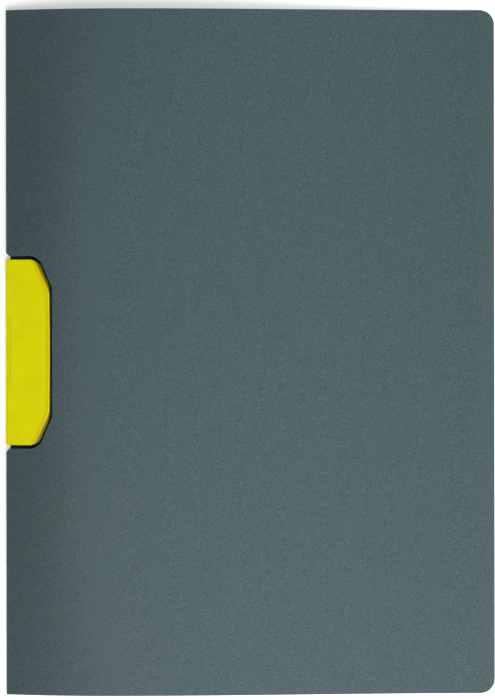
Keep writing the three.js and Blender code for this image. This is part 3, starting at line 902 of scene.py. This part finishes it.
def swing_clip():
    """The hollow shell and its barrel, with room for the lugs, the relief and the bore for the pin."""
    clip = combined(clip_shell(), "DIFFERENCE", clip_hollow())
    barrel = rod(BARREL, -CLIP_HALF, CLIP_HALF, BARREL_END_ROUND, math.pi / 2 + FACE_ANGLE)
    clip = combined(clip, "UNION", barrel)
    bore = rod(PIN + PIN_CLEARANCE, -CLIP_HALF - OVERSHOOT, CLIP_HALF - PIN_INSET)
    for cutter in (*lug_pockets(), relief_cut(), relief_groove(), bore):
        clip = combined(clip, "DIFFERENCE", cutter)
    mark_painted_shade(clip)
    made = piece("swing_clip_moulding", clip, clip_plastic, "clip_plastic", "swing_clip")
    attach(with_even_normals(made), "clip")


# Clip base
def base_plate():
    """The plate on the back cover, slotted on both sides of its tongue and cut away under it."""
    base = upright(clip_outline(WALL_PLAN, PLATE_X, BASE_INSET), SHEET, BASE_TOP)
    slot_end = PLATE_X + TONGUE_LENGTH
    slots = [
        block((0, min(a, b), 0), (slot_end, max(a, b), BASE_TOP + OVERSHOOT))
        for a, b in ((s * TONGUE_HALF, s * (TONGUE_HALF + TONGUE_SLOT)) for s in (-1, 1))
    ]
    base = combined(base, "DIFFERENCE", joined(slots))
    under = block((0, -TONGUE_HALF, 0), (slot_end, TONGUE_HALF, BASE_TOP - TONGUE))
    return combined(base, "DIFFERENCE", under)


def tongue_nose():
    """The end of the spring tongue, which reaches past the plate towards the barrel."""
    tongue_low = BASE_TOP - TONGUE
    nose_x = PLATE_X - TONGUE_REACH
    profile = [
        (PLATE_X + POST, tongue_low),
        (PLATE_X + POST, BASE_TOP),
        (PLATE_X, BASE_TOP),
        (nose_x + TONGUE_ROUND / 2, BASE_TOP - TONGUE_DROP),
        (nose_x, tongue_low + TONGUE_ROUND),
        (nose_x + TONGUE_ROUND / 2, tongue_low),
    ]
    return along(profile, -TONGUE_HALF, TONGUE_HALF)


def lug_parts():
    """The posts, arms and eyes of the four lugs that hold the pin, as three sets."""
    half = LUG_WIDTH / 2
    right = PLATE_X + POST
    posts = [block((PLATE_X, y - half, SHEET), (right, y + half, ARM_TOP)) for y in LUGS]
    arms = [block((HINGE_X, y - half, ARM_TOP - ARM), (right, y + half, ARM_TOP)) for y in LUGS]
    eyes = [rod(LUG, y - half, y + half) for y in LUGS]
    return [joined(parts) for parts in (posts, arms, eyes)]


def clip_base():
    """The moulding under the clip, with the holes for its rivets and the pin."""
    base = base_plate()
    for added in (tongue_nose(), *lug_parts()):
        base = combined(base, "UNION", added)
    shank = (RIVET_SHANK, 0, BASE_TOP + OVERSHOOT)
    head = (RIVET_HEAD, RIVET_SEAT, BASE_TOP + OVERSHOOT)
    base = with_rivet_holes(base, shank, head)
    bore = rod(PIN + PIN_CLEARANCE, -CLIP_HALF, CLIP_HALF)
    base = combined(base, "DIFFERENCE", bore)
    made = piece("clip_base_moulding", base, clip_plastic, "clip_plastic", "clip_base")
    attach(with_even_normals(made), "base")


def hinge_pin():
    """The wire that the clip turns on."""
    wire = rod(PIN, pin_low.y, pin_high.y, PIN_END_ROUND)
    made = piece("hinge_pin_wire", wire, wire_steel, "pin_steel", "hinge_pin")
    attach(with_even_normals(made), "base")


def rivets():
    """Flat-head rivets whose tails were set from below."""
    profile = [
        (RIVET_TAIL, RIVET_FOOT),
        (RIVET_TAIL, RIVET_TAIL_TOP),
        (RIVET_SHANK, RIVET_TAIL_TOP),
        (RIVET_SHANK, RIVET_SEAT),
        (RIVET_HEAD, RIVET_SEAT),
    ]
    for out, down in RIVET_HEAD_EDGE:
        profile.append((RIVET_HEAD * out, BASE_TOP - RIVET_HEAD_THICKNESS * down))
    rings = [[(r * math.cos(a), r * math.sin(a), z) for a in TURNS] for r, z in profile]
    places = {"Outer place": (*OUTER_RIVET, 0.0), "Inner place": (*INNER_RIVET, 0.0)}
    four = shaped(loft(rings), rivet_tree(), places)
    replaced = ("rivet_1", "rivet_2", "rivet_3", "rivet_4")
    made = piece("base_rivets", four, rivet_nickel, "rivet_steel", *replaced)
    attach(with_even_normals(made), "base")


# Studio, in metres
CAMERA_PLACE = (-0.00125, 0.0009, 1.05)
CAMERA_TURN = math.radians(-0.08)
PICTURE_HEIGHT = 0.3182  # of the table that the photograph covers
SENSOR_MM = 36
BESIDE_SPINE = (-0.3, 0, 0)
SWEEP_HALF = 4
SWEEP_DROP = 0.00005
ROOM_LIGHT = 0.3


def camera():
    """Straight above the folder, turned a touch, as in the photograph."""
    data = bpy.data.cameras.new("camera")
    data.sensor_width = SENSOR_MM
    data.lens = SENSOR_MM * CAMERA_PLACE[2] / PICTURE_HEIGHT
    made = bpy.data.objects.new("camera", data)
    made.location = CAMERA_PLACE
    made.rotation_euler.z = CAMERA_TURN
    bpy.context.scene.collection.objects.link(made)
    bpy.context.scene.camera = made


def lamp(name, place, size, power, glossy):
    """A white soft box that faces the folder. One that isn't glossy casts no glare."""
    data = bpy.data.lights.new(name, "AREA")
    data.shape = "RECTANGLE"
    data.size, data.size_y = size
    data.energy = power
    made = bpy.data.objects.new(name, data)
    made.location = place
    made.rotation_euler = (-Vector(place)).to_track_quat("-Z", "Y").to_euler()
    made.visible_camera = False
    made.visible_glossy = glossy
    bpy.context.scene.collection.objects.link(made)


def seen_directly(tree):
    """1 for rays that show the background: straight from the camera, or by way of gloss or glass."""
    rays = add(tree, "ShaderNodeLightPath").outputs
    total = rays["Is Camera Ray"]
    for name in ("Is Glossy Ray", "Is Transmission Ray"):
        total = add(tree, "ShaderNodeMath", {0: total, 1: rays[name]}, operation="MAXIMUM").outputs[0]
    return total


def floor():
    """A white sweep that keeps the folder's shadow. It glows least beside the spine, and further out it
    is plain white."""
    material, tree, place = blank("white_sweep")
    lit = add(tree, "ShaderNodeBsdfDiffuse", {"Color": linear("#EDEEEE")}).outputs[0]
    apart = {0: place, 1: BESIDE_SPINE}
    far = add(tree, "ShaderNodeVectorMath", apart, operation="DISTANCE").outputs["Value"]
    spread = {"Value": far, "From Min": 0.15, "From Max": 0.7, "To Min": 0.34, "To Max": 1.0}
    glow = add(tree, "ShaderNodeMapRange", spread, interpolation_type="SMOOTHSTEP").outputs[0]
    seen = seen_directly(tree)
    shown = add(tree, "ShaderNodeMath", {0: glow, 1: seen}, operation="MULTIPLY").outputs[0]
    light = add(tree, "ShaderNodeEmission", {"Color": linear("#FFFFFF"), "Strength": shown}).outputs[0]
    both = add(tree, "ShaderNodeAddShader", {0: lit, 1: light}).outputs[0]
    add(tree, "ShaderNodeOutputMaterial", {"Surface": both})
    shell = bmesh.new()
    bmesh.ops.create_grid(shell, x_segments=1, y_segments=1, size=SWEEP_HALF)
    bmesh.ops.translate(shell, verts=shell.verts, vec=(0, 0, -SWEEP_DROP))
    made = bpy.data.objects.new("sweep", as_mesh(shell))
    made.data.materials.append(material)
    bpy.context.scene.collection.objects.link(made)


def surroundings():
    """An even pale studio. Seen directly, its walls are white and its ceiling is dark."""
    world = bpy.data.worlds.new("studio")
    bpy.context.scene.world = world
    world.use_nodes = True
    tree = world.node_tree
    tree.nodes.clear()
    direction = add(tree, "ShaderNodeTexCoord").outputs["Generated"]
    height = add(tree, "ShaderNodeSeparateXYZ", {0: direction}).outputs["Z"]
    wall = {"Value": height, "From Min": 0.3, "From Max": 0.6, "To Min": 1.0, "To Max": 0.05}
    seen = add(tree, "ShaderNodeMapRange", wall, interpolation_type="SMOOTHSTEP").outputs[0]
    levels = {FACTOR: seen_directly(tree), NUMBER_A: ROOM_LIGHT, NUMBER_B: seen}
    strength = add(tree, "ShaderNodeMix", levels, data_type="FLOAT").outputs[MIXED_NUMBER]
    light = {"Color": linear("#FFFFFF"), "Strength": strength}
    background = add(tree, "ShaderNodeBackground", light).outputs[0]
    add(tree, "ShaderNodeOutputWorld", {"Surface": background})


camera()
front_cover()
back_cover()
spine()
swing_clip()
clip_base()
hinge_pin()
rivets()
floor()
surroundings()
lamp("overhead", place=(0.08, -0.7, 1.3), size=(0.8, 0.8), power=14.6, glossy=True)
lamp("key", place=(2.3, -0.75, 0.46), size=(0.8, 0.3), power=115, glossy=False)
bpy.context.scene.view_settings.view_transform = "Standard"
